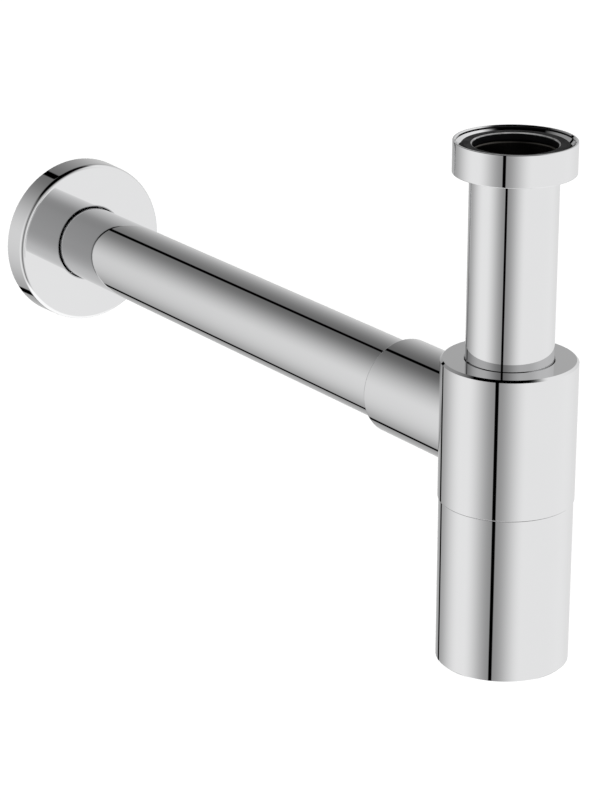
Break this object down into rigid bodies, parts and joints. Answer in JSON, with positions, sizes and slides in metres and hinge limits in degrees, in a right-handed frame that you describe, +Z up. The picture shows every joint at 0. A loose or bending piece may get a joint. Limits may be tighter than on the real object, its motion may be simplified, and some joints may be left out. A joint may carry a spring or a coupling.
{
  "type": "sink_trap",
  "caption": "Polished chrome bottle trap for a wash basin: union nut and inlet tube, cylindrical body with screw-off cup, side socket, long outlet tube and round wall flange.",
  "frame": {"origin": "centre of the union nut's rim, where the basin waste's threaded tail enters", "axes": "+Z up the inlet tube towards the basin, +Y along the outlet tube to the wall, +X to complete a right-handed frame"},
  "size_m": [0.0714, 0.3563, 0.1974],
  "materials": {
    "polished_chrome": "mirror-polished plating",
    "black_rubber": "moulded, slightly satin",
    "white_plastic": "natural nylon, matt"
  },
  "bodies": {
    "inlet": {"inlet_tube": "polished_chrome", "inlet_seal": "black_rubber"},
    "nut_washer": {"nut_slip_washer": "white_plastic"},
    "nut": {"inlet_nut": "polished_chrome"},
    "gland_rings": {"gland_o_ring_upper": "black_rubber", "gland_o_ring_lower": "black_rubber"},
    "body": {"trap_body": "polished_chrome"},
    "cup_ring": {"cup_o_ring": "black_rubber"},
    "cup": {"trap_cup": "polished_chrome"},
    "outlet_rings": {"outlet_o_ring_inner": "black_rubber", "outlet_o_ring_outer": "black_rubber"},
    "outlet": {"outlet_tube": "polished_chrome"},
    "flange_ring": {"flange_grip_ring": "black_rubber"},
    "flange": {"wall_flange": "polished_chrome"}
  },
  "joints": [
    {"name": "nut_slide", "type": "slide", "parent": "inlet", "child": "nut_washer", "axis": [0, 0, 1], "range_m": [-0.056, 0.0036]},
    {"name": "nut_spin", "type": "hinge", "parent": "nut_washer", "child": "nut", "pos_m": [0, 0, 0], "axis": [0, 0, 1], "continuous": true},
    {"name": "height_slide", "type": "slide", "parent": "inlet", "child": "gland_rings", "axis": [0, 0, 1], "range_m": [-0.04, 0.012]},
    {"name": "body_swivel", "type": "hinge", "parent": "gland_rings", "child": "body", "pos_m": [0, 0, -0.1095], "axis": [0, 0, 1], "continuous": true},
    {"name": "cup_drop", "type": "slide", "parent": "body", "child": "cup_ring", "axis": [0, 0, -1], "range_m": [0, 0.0111]},
    {"name": "cup_unscrew", "type": "hinge", "parent": "cup_ring", "child": "cup", "pos_m": [0, 0, -0.165], "axis": [0, 0, -1], "range_deg": [0, 1980]},
    {"name": "outlet_turn", "type": "hinge", "parent": "body", "child": "outlet_rings", "pos_m": [0, 0.05, -0.1095], "axis": [0, 1, 0], "continuous": true},
    {"name": "outlet_slide", "type": "slide", "parent": "outlet_rings", "child": "outlet", "axis": [0, 1, 0], "range_m": [-0.0057, 0.012]},
    {"name": "flange_slide", "type": "slide", "parent": "outlet", "child": "flange_ring", "axis": [0, 1, 0], "range_m": [-0.15, 0.015]},
    {"name": "flange_spin", "type": "hinge", "parent": "flange_ring", "child": "flange", "pos_m": [0, 0.3, -0.1095], "axis": [0, 1, 0], "continuous": true}
  ],
  "couplings": [
    {"joint": "cup_drop", "follows": "cup_unscrew", "m_per_rad": 0.00031831}
  ]
}
